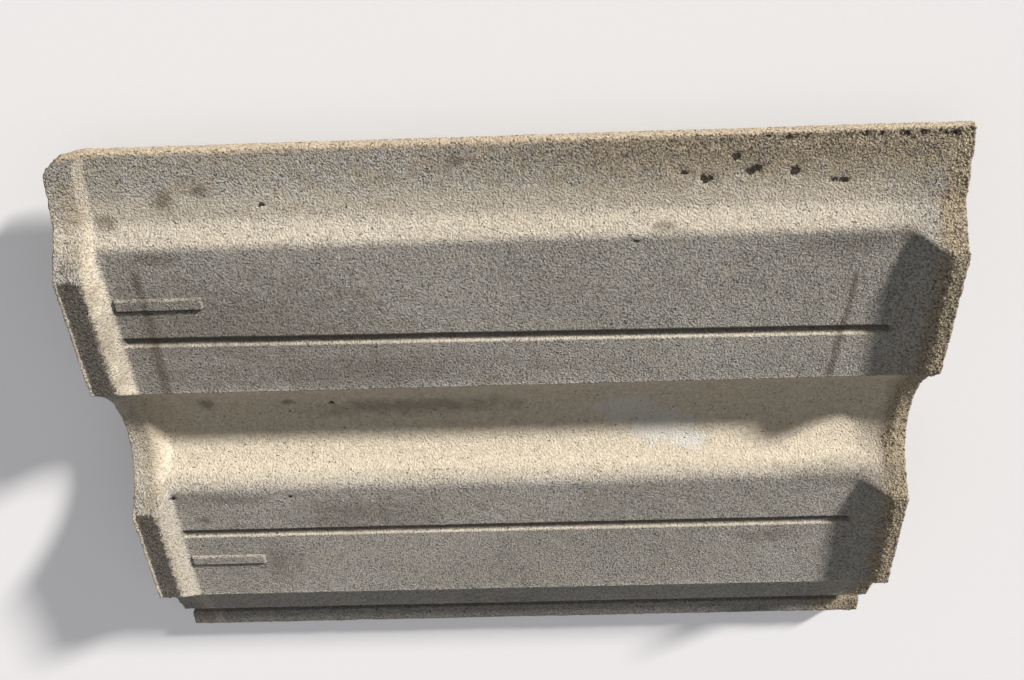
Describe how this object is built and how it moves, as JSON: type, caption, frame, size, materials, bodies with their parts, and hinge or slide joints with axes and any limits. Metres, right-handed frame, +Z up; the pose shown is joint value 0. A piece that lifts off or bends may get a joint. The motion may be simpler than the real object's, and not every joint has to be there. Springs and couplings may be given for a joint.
{
  "type": "interlocking concrete roof tile",
  "caption": "Interlocking concrete roof tile with a central roll between flat pans, side locks, end rims with batten nibs and recessed panels, lying underside up.",
  "frame": {"origin": "middle of the tile's box, on the floor that the weather side's roll and overlock rest on", "axes": "+X from the head to the tail, +Y to the underlock edge, +Z up out of the underside"},
  "size_m": [0.42, 0.3328, 0.0489],
  "materials": {
    "concrete": "weathered cast concrete, matt and finely grained"
  },
  "bodies": {
    "root": {"roof_tile": "concrete"}
  },
  "joints": []
}
